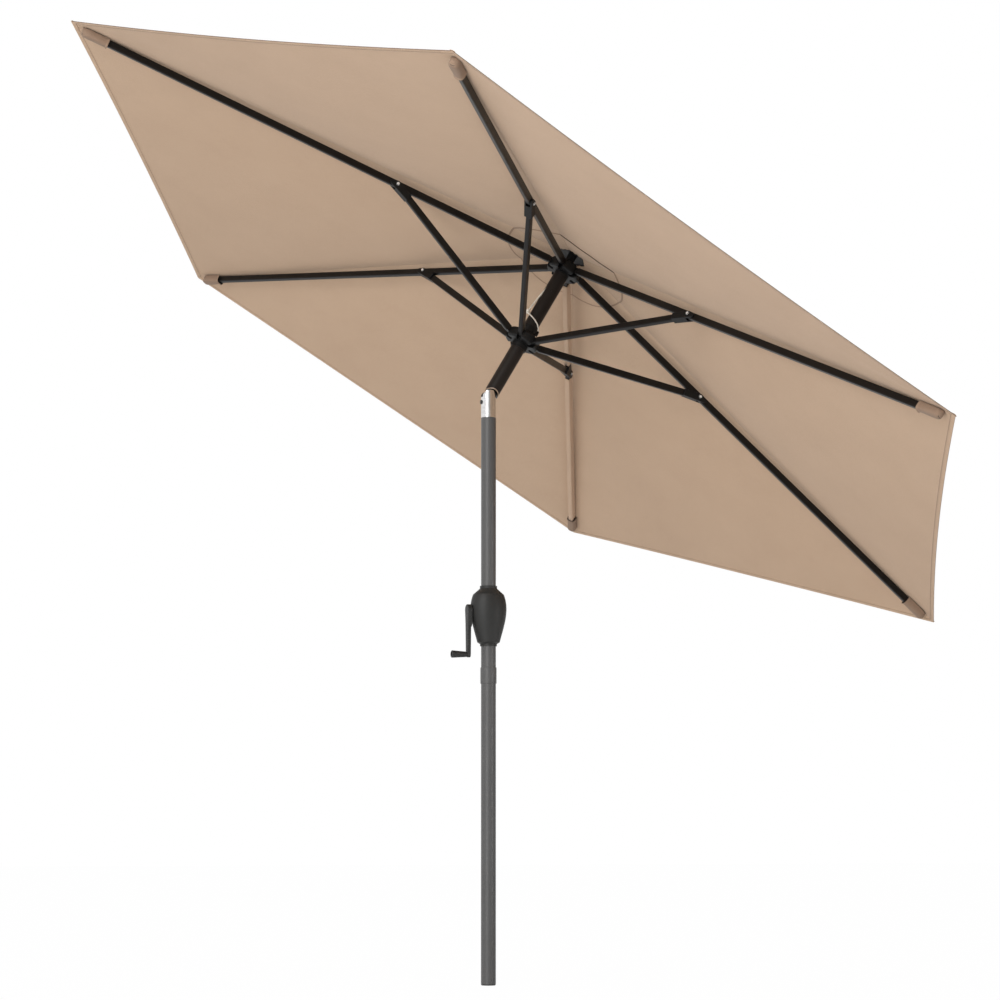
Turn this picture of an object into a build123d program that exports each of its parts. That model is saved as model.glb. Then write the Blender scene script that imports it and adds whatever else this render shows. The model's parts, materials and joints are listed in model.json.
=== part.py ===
from build123d import *
import os
from math import atan, atan2, cos, degrees, hypot, pi, radians, sin, sqrt, tan

# Driving dimensions, in millimetres and degrees.
# The frame's origin is the centre of the pole's bottom end, +Z runs up the pole,
# and the mast tilts towards +X about a hinge along +Y.

# Pole
POLE_R = 19.0
POLE_WALL = 1.2
FOOT_FLANGE = 3.0
FOOT_INSET = 0.6
FOOT_ROUND = 1.4
FOOT_PLUG_LENGTH = 30.0
FOOT_PLUG_WALL = 3.0
BAND_Z0 = 766.0
BAND_Z1 = 808.0
BAND_R = 20.7
BAND_ROUND = 1.6
SPIGOT_LENGTH = 45.0
SPIGOT_WALL = 2.0
SEAM_BELOW_PIVOT = 51.0

# Tilt joint
PIVOT_Z = 1500.0
TILT = 30.9
DOME_R = 19.0
RIM_R0 = 22.2
RIM_R1 = 25.2
KNUCKLE_SPIGOT = 55.0
TONGUE_R = 9.0
TONGUE_T = 13.6
TONGUE_PLUG_TOP = 78.0
SLOT_T = 14.2
SLOT_FLOOR = -19.0
SLOT_WALL_X = -13.4
SLOT_LIP_Z = 2.0
TILT_PIN_R = 4.0
TILT_PIN_Y0 = -15.0
TILT_PIN_Y1 = 18.0
BUTTON_R = 5.5
BUTTON_Z = -11.0
BUTTON_OUT = 2.6
BUTTON_ROUND = 1.2
BUTTON_FLANGE_R = 6.7
BUTTON_FLANGE_GAP = 0.3
BUTTON_FLANGE_T = 1.3
CORD_HOLE_R = 4.0

# Crank case: an egg shape given by its height and half widths along X and Y, from the top down
CASE_SECTIONS = [(994.0, 40.0, 34.0), (961.0, 46.8, 39.5), (918.0, 41.5, 36.0), (872.0, 29.0, 27.0)]
CASE_TOP = 1016.0
CASE_BOTTOM = 862.0
CASE_WALL = 2.6
TOP_COLLAR_Z = 1009.5
TOP_COLLAR_R = 22.0
LOW_COLLAR_Z = 867.5
LOW_COLLAR_R = 21.6
CASE_ROOF = 991.0
CASE_FLOOR = 875.0
CASE_SCREWS = [(29.0, 979.0), (-29.0, 979.0), (25.0, 899.0), (-25.0, 899.0)]
SCREW_R = 1.6
SCREW_HEAD_R = 3.2
SCREW_HEAD_T = 2.4
SCREW_SEAT_Y = 12.0
SCREW_TIP_Y = -14.0
SCREW_BOSS_R = 4.6
SCREW_ROOM = 0.3
SCREW_HOLE_PAST = 2.0

# Crank
CRANK_Z = 954.0
SHAFT_R = 5.0
SHAFT_END_X = 25.0
SHAFT_HOLE_PLAY = 1.0
SHAFT_ROOM_R = 11.9
SHAFT_ROOM_X0 = 17.0
SHAFT_ROOM_X1 = 28.0
SPOOL_R = 8.0
SPOOL_FLANGE_R = 13.0
SPOOL_FLANGE_T = 2.0
SPOOL_HALF = 12.0
BUSH_R = 7.9
BUSH_X0 = 16.4
BUSH_X1 = 24.0
BUSH_FLANGE_R = 9.9
BUSH_FLANGE_T = 2.0
BUSH_FLANGE_GAP = 0.2
CRANK_REACH = 114.0
ARM_IN = 47.4
ARM_WEB_IN = 50.0
ARM_OUT = 59.0
ARM_SKIN = 3.0
ARM_HUB_R = 14.0
ARM_NECK_R = 10.6
ARM_NECK_DROP = 34.0
ARM_TIP_R = 7.6
ARM_ROUND = 2.0
KNOB_LENGTH = 40.0
KNOB_R0 = 6.9
KNOB_R1 = 9.6
KNOB_ROUND = 2.0
KNOB_GAP = 0.6
KNOB_PIN_R = 3.0
KNOB_HEAD_R = 5.2
KNOB_HEAD_SUNK = 3.6
KNOB_HEAD_T = 2.4
KNOB_HEAD_ROOM = 0.4
KNOB_HEAD_GAP = 0.2

# Mast, hub and runner, measured from the tilt pivot along the mast
RIB_MEET_Z = 424.0
RIB_DROP = 10.0
HUB_TOP = 419.0
HUB_BOTTOM = 390.0
NOTCH_R = 27.0
LOBE_R = 45.0
LOBE_ROUND = 6.0
HUB_PIN_R = 38.0
HUB_STEM_R = 12.0
HUB_STEM_UP = 3.5
WASHER_R = 58.0
WASHER_FLAT_R = 17.0
WASHER_LIFT = 2.6
WASHER_T = 1.8
WASHER_SINK = 2.2
WASHER_PLAY = 0.1
FINIAL_GAP = 0.1
FINIAL_FOOT_R = 16.0
FINIAL_FOOT_T = 6.0
FINIAL_NECK_R = 9.0
FINIAL_NECK_T = 10.0
FINIAL_BALL_R = 17.0
FINIAL_BALL_UP = 0.86
MAST_TOP = 410.5
RUNNER_Z = 183.0
RUNNER_TOP = 38.0
RUNNER_BOTTOM = -28.0
RUNNER_SLEEVE_R = 21.5
RUNNER_LOBE_DOWN = 15.0
RUNNER_LOBE_UP = 13.0
RUNNER_PIN_R = 36.0
RUNNER_CLEARANCE = 0.35
EYE_HALF_W = 4.2
EYE_H = 12.0
EYE_OUT = 3.4
NOTCH_W = 12.8
PIN_SEAT = 6.0
EYE_INSET = 1.0
HINGE_PIN_R = 2.5
HINGE_PLAY = 0.06

# Ribs, struts and their clips
RIB_COUNT = 6
RIB_PITCH = 9.6
RIB_END_R = 1338.0
BAR_W = 12.0
BAR_H = 18.0
BAR_WALL = 0.8
BAR_CORNER = 2.5
BAR_START = 13.0
BAR_SOLID = 22.0
TONGUE_END_R = 7.0
RIVET_AT_R = 486.0
RIVET_R = 2.5
RIVET_PLAY = 1.3
RIVET_HEAD_R = 4.5
RIVET_HEAD_T = 1.8
RIVET_HEAD_ROUND = 0.9
STRUT_END = 46.0
CLIP_GAP = 12.7
CLIP_CHEEK = 4.4
CLIP_UNDER = 4.0
CLIP_END_R = 7.6
CLIP_START = 2.0
CLIP_NOSE = 14.0
CLIP_NOSE_R = 6.5
CLIP_ROUND = 1.2
CLIP_PLUG_LENGTH = 26.0
CLIP_PLUG_OVERLAP = 1.0
CLIP_PLUG_CORNER = 1.8

# Canopy
CANOPY_R = 1375.0
CLOTH_TOP_Z = 452.0
CROWN_HOLE_R = 42.0
FABRIC_T = 0.8
FABRIC_EDGE_GAP = 0.6
HEM_SAG = 13.0
POCKET_LENGTH = 70.0
POCKET_W = 27.0
POCKET_SKIN = 2.4
POCKET_ROUND = 7.0
POCKET_NOSE_ROUND = 9.0
POCKET_BELOW_TOP = 2.4
POCKET_ROOM = 0.3

# Hoist cord
CORD_R = 1.75
CORD_ARC_SHARE = 0.45
CORD_PLAY = 0.6
CORD_OUT = 23.4
HOIST_EYE_R = 31.0
HOIST_MID = (-22.5, 2.1, 300.0)
HOIST_END_Y = 2.1
TAIL_START = (-18.3, -2.6, 314.0)
TAIL_MID = (-24.2, -2.4, 297.0)
TAIL_END = (-27.4, -2.2, 254.0)
PULLEY_R = 8.5
PULLEY_RIM_R = 10.4
PULLEY_HALF_W = 4.0
PULLEY_GROOVE_PLAY = 0.3
PULLEY_X = -6.5
PULLEY_Z = 330.0
PULLEY_PIN_INSET = 0.4
CORD_SLOT_HALF_W = 5.0
CORD_SLOT_DOWN = 38.0
CORD_SLOT_UP = 10.0
CORD_SLOT_BEHIND = 3.0
SPOOL_LEAVE_Z = 4.0
HOIST_START_DOWN = 1.0
HOIST_START_OUT = 0.2
HOIST_ANGLE = 180.0
BRIDLE_TOP = 250.0
BRIDLE_DROP = 6.7
BRIDLE_ANGLES = [190.0, 227.0, 266.0, 305.0, 343.0]
BRIDLE_RADII = [28.6, 25.0, CORD_OUT, CORD_OUT, CORD_OUT]

# Worked-out sizes
POLE_BORE_R = POLE_R - POLE_WALL
SEAM_Z = PIVOT_Z - SEAM_BELOW_PIVOT
STEP_ANGLE = 360.0 / RIB_COUNT
HALF_STEP = radians(STEP_ANGLE / 2)
RIB_SLOPE = tan(radians(RIB_PITCH))
CLOTH_SLOPE = RIB_SLOPE + (CLOTH_TOP_Z - RIB_MEET_Z) / CANOPY_R
PANEL_SLOPE = CLOTH_SLOPE / cos(HALF_STEP)
HUB_PIN_Z = RIB_MEET_Z - RIB_DROP - HUB_PIN_R * RIB_SLOPE
RIVET_Z = RIB_MEET_Z - RIB_DROP - RIVET_AT_R * RIB_SLOPE
RIB_LENGTH = (RIB_END_R - HUB_PIN_R) / cos(radians(RIB_PITCH))
RIVET_ALONG = (RIVET_AT_R - HUB_PIN_R) / cos(radians(RIB_PITCH))
STRUT_LENGTH = hypot(RIVET_AT_R - RUNNER_PIN_R, RIVET_Z - RUNNER_Z)
STRUT_RISE = degrees(atan2(RIVET_Z - RUNNER_Z, RIVET_AT_R - RUNNER_PIN_R))
CORD_RUN_R = PULLEY_R + CORD_R
CORD_UP_X = PULLEY_X + CORD_RUN_R
CORD_OVER_X = PULLEY_X - CORD_RUN_R
CORD_START_Z = RIM_R0 + 2.4

# Fits and the reach of a cutting tool
FIT = 0.05
PRESS = 0.02
FAR = 200.0
ACROSS_BAR = 25.0

PARTS = "parts"
MAST_PLACE = Location((0, 0, PIVOT_Z), (0, TILT, 0))


def save(name, shape):
    export_step(shape, os.path.join(PARTS, name + ".step"))


def save_on_mast(name, shape):
    save(name, MAST_PLACE * shape)


def disc(radius, z0, z1):
    return Pos(0, 0, z0) * Cylinder(radius, z1 - z0, align=(Align.CENTER, Align.CENTER, Align.MIN))


def tube(outer, inner, z0, z1):
    return disc(outer, z0, z1) - disc(inner, z0, z1)


def rod_x(radius, x0, x1, z=0.0):
    return Pos((x0 + x1) / 2, 0, z) * Rot(0, 90, 0) * Cylinder(radius, abs(x1 - x0))


def rod_y(radius, y0, y1, x=0.0, z=0.0):
    return Pos(x, (y0 + y1) / 2, z) * Rot(90, 0, 0) * Cylinder(radius, abs(y1 - y0))


def block(x0, x1, y0, y1, z0, z1):
    centre = Pos((x0 + x1) / 2, (y0 + y1) / 2, (z0 + z1) / 2)
    return centre * Box(x1 - x0, y1 - y0, z1 - z0)


def turned(points):
    return revolve(make_face(Plane.XZ * Polyline(points, close=True)), Axis.Z)


def arms(shape):
    return [Rot(0, 0, STEP_ANGLE * k) * shape for k in range(RIB_COUNT)]


def rounded_bar(x0, x1, width, height, corner):
    section = Plane.YZ * RectangleRounded(width, height, corner)
    return Pos(x0, 0, 0) * extrude(section, amount=x1 - x0)


def round_edges(solid, radius):
    return fillet(solid.edges().filter_by(GeomType.CIRCLE), radius)


# Pole: lower tube, foot plug, joint coupler and upper tube
def make_pole():
    save("lower_pole", tube(POLE_R, POLE_BORE_R, FOOT_FLANGE, BAND_Z0))

    plug_r = POLE_BORE_R - FIT
    flange = disc(POLE_R - FOOT_INSET, 0, FOOT_FLANGE)
    flange = fillet(flange.edges().sort_by(Axis.Z)[0], FOOT_ROUND)
    insert = tube(plug_r, POLE_BORE_R - FOOT_PLUG_WALL, FOOT_FLANGE, FOOT_FLANGE + FOOT_PLUG_LENGTH)
    save("pole_foot_plug", flange + insert)

    band = round_edges(disc(BAND_R, BAND_Z0, BAND_Z1), BAND_ROUND)
    spigot = disc(plug_r, BAND_Z0 - SPIGOT_LENGTH, BAND_Z1 + SPIGOT_LENGTH)
    bore = disc(POLE_BORE_R - SPIGOT_WALL, BAND_Z0 - SPIGOT_LENGTH, BAND_Z1 + SPIGOT_LENGTH)
    save("pole_coupler", band + spigot - bore)

    upper = tube(POLE_R, POLE_BORE_R, BAND_Z1, SEAM_Z)
    save("upper_pole", upper - rod_x(BUSH_R + FIT, -FAR, FAR, z=CRANK_Z))


# Crank case: an egg-shaped casing in two halves that meet in the plane of the crank
def oval(z, half_x, half_y):
    return Pos(0, 0, z) * Ellipse(half_x, half_y)


def case_loft(inset):
    return loft([oval(z, half_x - inset, half_y - inset) for z, half_x, half_y in CASE_SECTIONS])


def case_outside():
    shoulder = loft([oval(*CASE_SECTIONS[0]), oval(TOP_COLLAR_Z, TOP_COLLAR_R, TOP_COLLAR_R)], ruled=True)
    heel = loft([oval(LOW_COLLAR_Z, LOW_COLLAR_R, LOW_COLLAR_R), oval(*CASE_SECTIONS[-1])], ruled=True)
    collars = disc(TOP_COLLAR_R, TOP_COLLAR_Z, CASE_TOP) + disc(LOW_COLLAR_R, CASE_BOTTOM, LOW_COLLAR_Z)
    return case_loft(0.0) + shoulder + heel + collars


def make_case():
    cavity = case_loft(CASE_WALL) & disc(FAR, CASE_FLOOR, CASE_ROOF)
    for x, z in CASE_SCREWS:
        cavity -= rod_y(SCREW_BOSS_R, -FAR, FAR, x=x, z=z)
    shell = case_outside() - cavity - disc(POLE_R + FIT, CASE_BOTTOM, CASE_TOP)
    shell -= rod_x(SHAFT_R + SHAFT_HOLE_PLAY, -FAR, 0, z=CRANK_Z)
    shell -= rod_x(SHAFT_ROOM_R, SHAFT_ROOM_X0, SHAFT_ROOM_X1, z=CRANK_Z)
    screws = []
    for x, z in CASE_SCREWS:
        shell -= rod_y(SCREW_R + FIT, SCREW_TIP_Y - SCREW_HOLE_PAST, FAR, x=x, z=z)
        shell -= rod_y(SCREW_HEAD_R + SCREW_ROOM, SCREW_SEAT_Y, FAR, x=x, z=z)
        shank = rod_y(SCREW_R, SCREW_TIP_Y, SCREW_SEAT_Y, x=x, z=z)
        screws.append(shank + rod_y(SCREW_HEAD_R, SCREW_SEAT_Y, SCREW_SEAT_Y + SCREW_HEAD_T, x=x, z=z))
    save("crank_case_front", shell & block(-FAR, FAR, -FAR, 0, CASE_BOTTOM, CASE_TOP))
    save("crank_case_rear", shell & block(-FAR, FAR, 0, FAR, CASE_BOTTOM, CASE_TOP))
    save("case_screws", Compound(children=screws))


# Crank: shaft in two bushes, cord spool, arm, knob and the pin that the knob turns on
def make_crank():
    bore = rod_x(SHAFT_R + FIT, -FAR, FAR, z=CRANK_Z)
    spool = rod_x(SPOOL_R, -SPOOL_HALF, SPOOL_HALF, z=CRANK_Z)
    flange_x = POLE_R + BUSH_FLANGE_GAP
    bushes = []
    for side in (-1, 1):
        sleeve = rod_x(BUSH_R, side * BUSH_X0, side * BUSH_X1, z=CRANK_Z)
        collar = rod_x(BUSH_FLANGE_R, side * flange_x, side * (flange_x + BUSH_FLANGE_T), z=CRANK_Z)
        bushes.append(sleeve + collar - bore)
        spool += rod_x(SPOOL_FLANGE_R, side * (SPOOL_HALF - SPOOL_FLANGE_T), side * SPOOL_HALF, z=CRANK_Z)
    save("shaft_bushes", Compound(children=bushes))
    save("cord_spool", spool - rod_x(SHAFT_R + PRESS, -FAR, FAR, z=CRANK_Z))
    save("crank_shaft", rod_x(SHAFT_R, -ARM_OUT + ARM_SKIN, SHAFT_END_X, z=CRANK_Z))

    knob_z = CRANK_Z - CRANK_REACH
    hub = arm_plate(ARM_HUB_R, 0, ARM_NECK_R, ARM_NECK_DROP, ARM_IN)
    web = arm_plate(ARM_NECK_R, ARM_NECK_DROP, ARM_TIP_R, CRANK_REACH, ARM_WEB_IN)
    arm = fillet((hub + web).faces().sort_by(Axis.X)[0].edges(), ARM_ROUND)
    arm -= rod_x(SHAFT_R + PRESS, -ARM_OUT + ARM_SKIN, 0, z=CRANK_Z)
    save("crank_arm", arm - rod_x(KNOB_PIN_R + PRESS, -FAR, 0, z=knob_z))

    knob_end = -ARM_OUT - KNOB_GAP - KNOB_LENGTH
    head_end = knob_end + KNOB_HEAD_SUNK
    head_seat = head_end + KNOB_HEAD_T
    head = rod_x(KNOB_HEAD_R, head_end, head_seat, z=knob_z)
    save("knob_pin", head + rod_x(KNOB_PIN_R, head_seat, -ARM_WEB_IN, z=knob_z))
    taper = Cone(KNOB_R1, KNOB_R0, KNOB_LENGTH, align=(Align.CENTER, Align.CENTER, Align.MIN))
    knob = Pos(knob_end, 0, knob_z) * Rot(0, 90, 0) * round_edges(taper, KNOB_ROUND)
    knob -= rod_x(KNOB_PIN_R + FIT, -FAR, 0, z=knob_z)
    knob -= rod_x(KNOB_HEAD_R + KNOB_HEAD_ROOM, -FAR, head_seat + KNOB_HEAD_GAP, z=knob_z)
    save("crank_knob", knob)


def arm_plate(radius0, drop0, radius1, drop1, x_in):
    outline = Plane.YZ * make_hull(
        (Pos(0, CRANK_Z - drop0) * Circle(radius0)).edges()
        + (Pos(0, CRANK_Z - drop1) * Circle(radius1)).edges()
    )
    return Pos(-ARM_OUT, 0, 0) * extrude(outline, amount=ARM_OUT - x_in)


# Tilt joint: bright knuckle on the pole, pin, tongue under the mast and push button
def make_tilt_joint():
    half_slot = SLOT_T / 2
    plug_r = POLE_BORE_R - FIT
    round_end = rod_y(DOME_R, -FAR, FAR)
    body = disc(POLE_R, -SEAM_BELOW_PIVOT, 0) + (disc(POLE_R, 0, DOME_R) & round_end)
    body += disc(plug_r, -SEAM_BELOW_PIVOT - KNUCKLE_SPIGOT, -SEAM_BELOW_PIVOT)
    body -= block(SLOT_WALL_X, FAR, -half_slot, half_slot, SLOT_FLOOR, FAR)
    body -= block(-FAR, FAR, -half_slot, half_slot, SLOT_LIP_Z, FAR)
    body -= rod_y(TILT_PIN_R, TILT_PIN_Y0, FAR)
    body -= rod_x(BUTTON_R + 2 * FIT, -FAR, SLOT_WALL_X, z=BUTTON_Z)
    body -= disc(CORD_HOLE_R, -FAR, SLOT_FLOOR)
    save("tilt_knuckle", Pos(0, 0, PIVOT_Z) * body)
    save("tilt_pin", rod_y(TILT_PIN_R, TILT_PIN_Y0, TILT_PIN_Y1, z=PIVOT_Z))

    flange_x = SLOT_WALL_X + BUTTON_FLANGE_GAP
    button = rod_x(BUTTON_R, -POLE_R - BUTTON_OUT, flange_x, z=BUTTON_Z)
    button = fillet(button.edges().filter_by(GeomType.CIRCLE).sort_by(Axis.X)[0], BUTTON_ROUND)
    button += rod_x(BUTTON_FLANGE_R, flange_x, flange_x + BUTTON_FLANGE_T, z=BUTTON_Z)
    save("tilt_button", Pos(0, 0, PIVOT_Z) * button)

    hollow = rod_y(RIM_R0, -FAR, FAR)
    rim = disc(POLE_R, 0, RIM_R1) & rod_y(RIM_R1, -FAR, FAR)
    tongue = rim + disc(plug_r, 0, TONGUE_PLUG_TOP) - hollow
    half_t = TONGUE_T / 2
    tongue += block(-TONGUE_R, TONGUE_R, -half_t, half_t, 0, CORD_START_Z)
    tongue += rod_y(TONGUE_R, -half_t, half_t)
    tongue -= rod_y(TILT_PIN_R + HINGE_PLAY, -FAR, FAR)
    tongue -= Pos(CORD_UP_X, 0, 0) * disc(CORD_R + CORD_PLAY, CORD_START_Z - FIT, FAR)
    save_on_mast("tilt_tongue", tongue)


# Mast tube with the slot that the hoist cord leaves by, and the pulley in it
def make_mast():
    slot_w = CORD_SLOT_HALF_W
    mast = tube(POLE_R, POLE_BORE_R, 0, MAST_TOP) - rod_y(RIM_R1 + FIT, -FAR, FAR)
    mast -= block(-FAR, PULLEY_X - CORD_SLOT_BEHIND, -slot_w, slot_w,
                  PULLEY_Z - CORD_SLOT_DOWN, PULLEY_Z + CORD_SLOT_UP)
    save_on_mast("mast_tube", mast - rod_y(HINGE_PIN_R, -FAR, FAR, x=PULLEY_X, z=PULLEY_Z))

    half = sqrt(POLE_R ** 2 - PULLEY_X ** 2) - PULLEY_PIN_INSET
    save_on_mast("pulley_pin", rod_y(HINGE_PIN_R, -half, half, x=PULLEY_X, z=PULLEY_Z))
    wheel = rod_y(PULLEY_RIM_R, -PULLEY_HALF_W, PULLEY_HALF_W)
    wheel -= Rot(90, 0, 0) * Torus(CORD_RUN_R, CORD_R + PULLEY_GROOVE_PLAY)
    wheel -= rod_y(HINGE_PIN_R + FIT, -FAR, FAR)
    save_on_mast("cord_pulley", Pos(PULLEY_X, 0, PULLEY_Z) * wheel)


# Hub and runner: a rounded disc with a notch for each rib or strut, and a pin across each notch
def notches(pin_r, pin_z):
    notch = block(NOTCH_R, FAR, -NOTCH_W / 2, NOTCH_W / 2, pin_z - FAR, pin_z + FAR)
    return arms(notch + hinge_pin(pin_r, pin_z))


def hinge_pin(pin_r, pin_z):
    half = NOTCH_W / 2 + PIN_SEAT
    return rod_y(HINGE_PIN_R, -half, half, x=pin_r, z=pin_z)


def lobes(z0, z1):
    return round_edges(disc(LOBE_R, z0, z1), LOBE_ROUND)


def make_hub():
    stem_top = CLOTH_TOP_Z + HUB_STEM_UP
    hub = lobes(HUB_BOTTOM, HUB_TOP) + disc(HUB_STEM_R, HUB_TOP, stem_top)
    hub -= notches(HUB_PIN_R, HUB_PIN_Z)
    hub -= disc(POLE_R + FIT, HUB_BOTTOM, MAST_TOP + FIT)
    save_on_mast("top_hub", hub)
    save_on_mast("rib_hinge_pins", Compound(children=arms(hinge_pin(HUB_PIN_R, HUB_PIN_Z))))

    edge_z = CLOTH_TOP_Z - WASHER_R * CLOTH_SLOPE + WASHER_LIFT
    bore_r = HUB_STEM_R + WASHER_PLAY
    washer = [(bore_r, CLOTH_TOP_Z - WASHER_SINK), (WASHER_R, edge_z), (WASHER_R, edge_z + WASHER_T),
              (WASHER_FLAT_R, stem_top), (bore_r, stem_top)]
    save_on_mast("crown_washer", turned(washer))

    foot = stem_top + FINIAL_GAP
    neck = foot + FINIAL_FOOT_T
    ball = neck + FINIAL_NECK_T
    finial = disc(FINIAL_FOOT_R, foot, neck) + disc(FINIAL_NECK_R, neck, ball)
    finial += Pos(0, 0, ball + FINIAL_BALL_R * FINIAL_BALL_UP) * Sphere(FINIAL_BALL_R)
    save_on_mast("finial", finial)


def make_runner():
    top = RUNNER_Z + RUNNER_TOP
    sleeve = disc(RUNNER_SLEEVE_R, RUNNER_Z + RUNNER_BOTTOM, top)
    runner = lobes(RUNNER_Z - RUNNER_LOBE_DOWN, RUNNER_Z + RUNNER_LOBE_UP) + sleeve
    for angle, cord_r in ((HOIST_ANGLE, HOIST_EYE_R), (BRIDLE_ANGLES[-1], CORD_OUT)):
        eye = block(POLE_R + EYE_INSET, cord_r + EYE_OUT, -EYE_HALF_W, EYE_HALF_W, top - EYE_H, top)
        runner += Rot(0, 0, angle) * eye
    runner -= notches(RUNNER_PIN_R, RUNNER_Z)
    save_on_mast("runner", runner - disc(POLE_R + RUNNER_CLEARANCE, RUNNER_Z - FAR, RUNNER_Z + FAR))
    save_on_mast("strut_hinge_pins", Compound(children=arms(hinge_pin(RUNNER_PIN_R, RUNNER_Z))))


# Ribs and struts: a rectangular tube with a rounded tongue at its inner end
def bar(length):
    outer = rounded_bar(BAR_START, length, BAR_W, BAR_H, BAR_CORNER)
    inner_w = BAR_W - 2 * BAR_WALL
    inner_h = BAR_H - 2 * BAR_WALL
    inner = rounded_bar(BAR_START + BAR_SOLID, length, inner_w, inner_h, BAR_CORNER - BAR_WALL)
    eye = rod_y(TONGUE_END_R, -BAR_W / 2, BAR_W / 2)
    neck = block(0, BAR_START, -BAR_W / 2, BAR_W / 2, -TONGUE_END_R, TONGUE_END_R)
    return outer - inner + eye + neck - rod_y(HINGE_PIN_R + HINGE_PLAY, -ACROSS_BAR, ACROSS_BAR)


def at_hub(shape, turn):
    return Rot(0, 0, turn) * Pos(HUB_PIN_R, 0, HUB_PIN_Z) * Rot(0, RIB_PITCH, 0) * shape


def at_runner(shape, turn):
    return Rot(0, 0, turn) * Pos(RUNNER_PIN_R, 0, RUNNER_Z) * Rot(0, -STRUT_RISE, 0) * shape


# Clip: a plug in the strut's open end with two cheeks that straddle the rib, and its rivet
def make_clip():
    inner_w = BAR_W - 2 * (BAR_WALL + FIT)
    inner_h = BAR_H - 2 * (BAR_WALL + FIT)
    cheek_out = CLIP_GAP / 2 + CLIP_CHEEK
    end_x = STRUT_LENGTH - STRUT_END
    plug_start = end_x - CLIP_PLUG_LENGTH
    plug_end = end_x + CLIP_PLUG_OVERLAP
    plug = rounded_bar(plug_start, plug_end, inner_w, inner_h, CLIP_PLUG_CORNER)
    along_rib = radians(STRUT_RISE + RIB_PITCH)
    nose = (STRUT_LENGTH + CLIP_NOSE * cos(along_rib), -CLIP_NOSE * sin(along_rib))
    outline = Plane.XZ * make_hull(
        (Pos(STRUT_LENGTH, 0) * Circle(CLIP_END_R)).edges()
        + (Pos(end_x + CLIP_START, 0) * Circle(BAR_H / 2)).edges()
        + (Pos(*nose) * Circle(CLIP_NOSE_R)).edges()
    )
    solid = extrude(outline, amount=cheek_out, both=True)
    solid &= block(end_x, STRUT_LENGTH + FAR, -FAR, FAR, -FAR, FAR)
    for side in (0, -1):
        solid = fillet(solid.faces().sort_by(Axis.Y)[side].edges(), CLIP_ROUND)
    gap = block(-FAR, FAR, -CLIP_GAP / 2, CLIP_GAP / 2, -BAR_H / 2 - CLIP_UNDER, FAR)
    gap = Pos(STRUT_LENGTH, 0, 0) * Rot(0, degrees(along_rib), 0) * gap
    clip = plug + solid - gap - rod_y(RIVET_R + FIT, -ACROSS_BAR, ACROSS_BAR, x=STRUT_LENGTH)
    rivet = rod_y(RIVET_R, -cheek_out, cheek_out, x=STRUT_LENGTH)
    for side, outer in ((-1, 0), (1, -1)):
        head = rod_y(RIVET_HEAD_R, side * cheek_out, side * (cheek_out + RIVET_HEAD_T), x=STRUT_LENGTH)
        outer_edge = head.edges().filter_by(GeomType.CIRCLE).sort_by(Axis.Y)[outer]
        rivet += fillet(outer_edge, RIVET_HEAD_ROUND)
    return Compound(children=[clip, rivet])


# Corner pocket: a sewn sleeve under the canopy's corner that the rib's tip sits in
def make_pocket():
    hollow_end = RIB_LENGTH + 2 * POCKET_ROOM
    x1 = hollow_end + POCKET_SKIN
    x0 = x1 - POCKET_LENGTH
    half_w = BAR_W / 2 + POCKET_ROOM
    low = -BAR_H / 2 - POCKET_ROOM
    body = block(x0, x1, -POCKET_W / 2, POCKET_W / 2, low - POCKET_SKIN, BAR_H / 2 - POCKET_BELOW_TOP)
    body = fillet(body.edges().filter_by(Axis.Z).group_by(Axis.X)[-1], POCKET_NOSE_ROUND)
    body = fillet(body.edges().filter_by(Axis.X).group_by(Axis.Z)[0], POCKET_ROUND)
    hollow = rounded_bar(x0, hollow_end, 2 * half_w, -2 * low, BAR_CORNER)
    return body - hollow - block(x0, hollow_end, -half_w, half_w, 0, FAR)


# Canopy panel: a flat gore between two ribs, with its hem drawn in a little
def make_panel():
    inner = CROWN_HOLE_R * cos(HALF_STEP)
    outer = CANOPY_R * cos(HALF_STEP)

    def point(out, side):
        return (out, side * (out * tan(HALF_STEP) - FABRIC_EDGE_GAP), CLOTH_TOP_Z - out * PANEL_SLOPE)

    hem_mid = (outer - HEM_SAG, 0, CLOTH_TOP_Z - (outer - HEM_SAG) * PANEL_SLOPE)
    outline = Polyline(point(outer, -1), point(inner, -1), point(inner, 1), point(outer, 1))
    outline += ThreePointArc(point(outer, 1), hem_mid, point(outer, -1))
    fall = atan(PANEL_SLOPE)
    return extrude(make_face(outline), amount=FABRIC_T, dir=(sin(fall), 0, cos(fall)))


def make_arms():
    rib = bar(RIB_LENGTH) - rod_y(RIVET_R + RIVET_PLAY, -ACROSS_BAR, ACROSS_BAR, x=RIVET_ALONG)
    strut = bar(STRUT_LENGTH - STRUT_END)
    clip = make_clip()
    pocket = make_pocket()
    panel = make_panel()
    for k in range(RIB_COUNT):
        turn = STEP_ANGLE * k
        save_on_mast(f"rib_{k + 1}", at_hub(rib, turn))
        save_on_mast(f"corner_pocket_{k + 1}", at_hub(pocket, turn))
        save_on_mast(f"strut_{k + 1}", at_runner(strut, turn))
        save_on_mast(f"strut_clip_{k + 1}", at_runner(clip, turn))
        save_on_mast(f"canopy_panel_{k + 1}", Rot(0, 0, turn + STEP_ANGLE / 2) * panel)


# Hoist cord: from the spool up the pole and mast, over the pulley and down to the runner
def around_mast(angle, radius, z):
    return (radius * cos(radians(angle)), radius * sin(radians(angle)), z)


def cord_radii(points):
    radii = []
    for before, corner, after in zip(points, points[1:], points[2:]):
        run_in = Vector(*corner) - Vector(*before)
        run_out = Vector(*after) - Vector(*corner)
        half_turn = radians(run_in.get_angle(run_out)) / 2
        radii.append(CORD_ARC_SHARE * min(run_in.length, run_out.length) / tan(half_turn))
    return radii


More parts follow.
